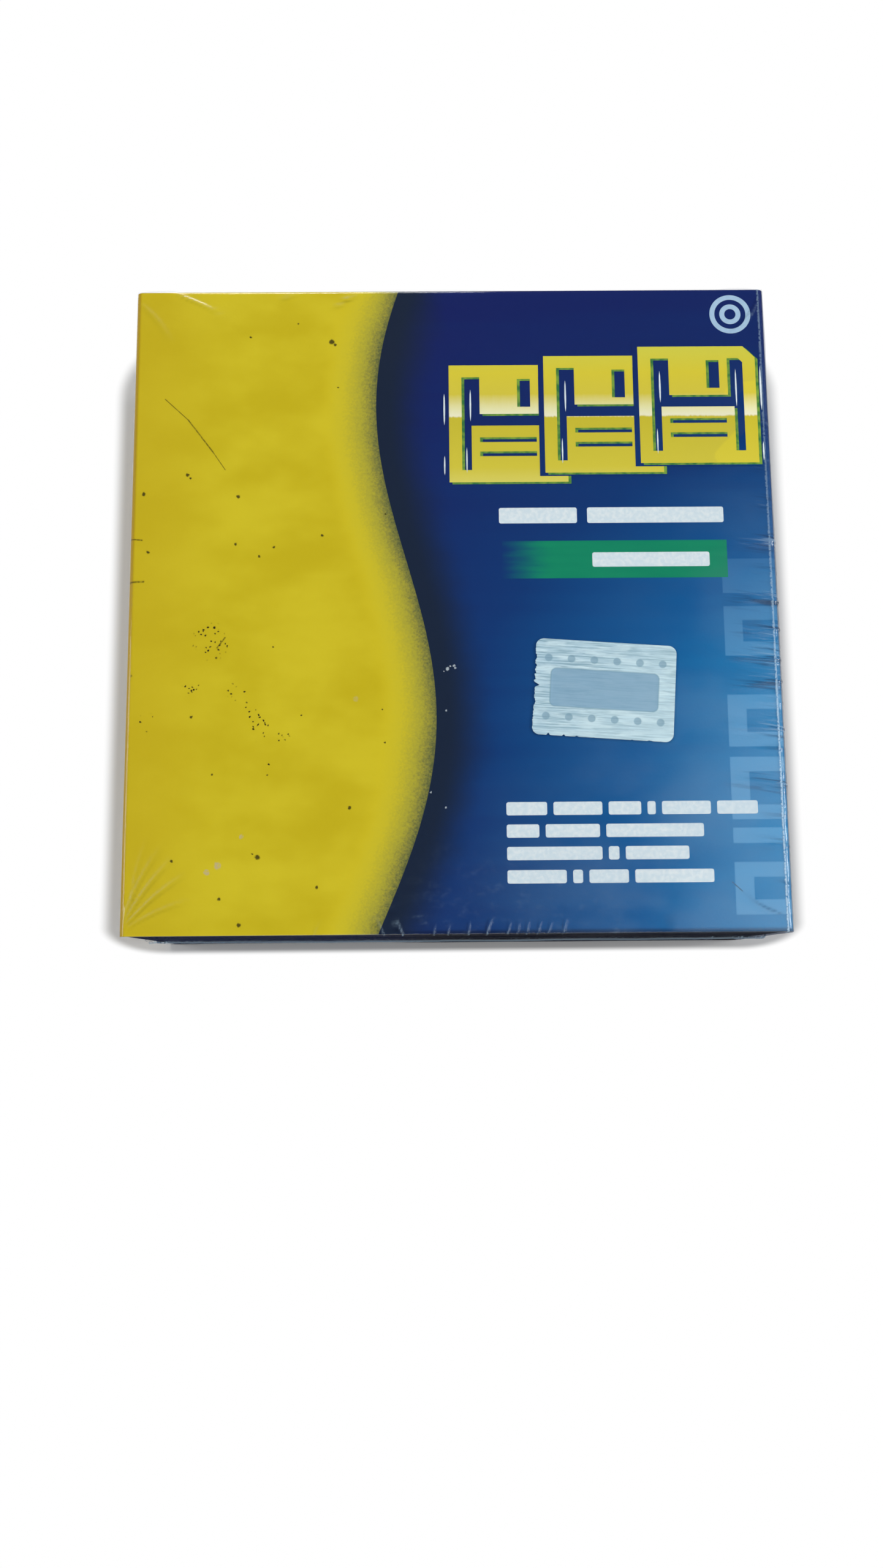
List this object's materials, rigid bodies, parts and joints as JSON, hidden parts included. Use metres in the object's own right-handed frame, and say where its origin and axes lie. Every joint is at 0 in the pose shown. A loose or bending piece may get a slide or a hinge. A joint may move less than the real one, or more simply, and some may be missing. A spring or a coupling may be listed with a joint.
{
  "type": "sealed carton of floppy disks",
  "caption": "Flat square carton of boxed 3.5-inch floppy disks, sealed in clear shrink film with a foil security sticker on its printed front.",
  "frame": {"origin": "middle of the back face, which the pack lies on", "axes": "+Z out of the printed front, +Y to the top of the print, +X to its right"},
  "size_m": [0.0958, 0.0978, 0.0362],
  "materials": {
    "printed_board": "varnished offset print on folding board",
    "shrink_film": "clear shrink film",
    "foil": "silver foil with a fine embossed grain"
  },
  "bodies": {
    "root": {"carton": "printed_board", "film_wrap": "shrink_film", "foil_sticker": "foil"}
  },
  "joints": []
}
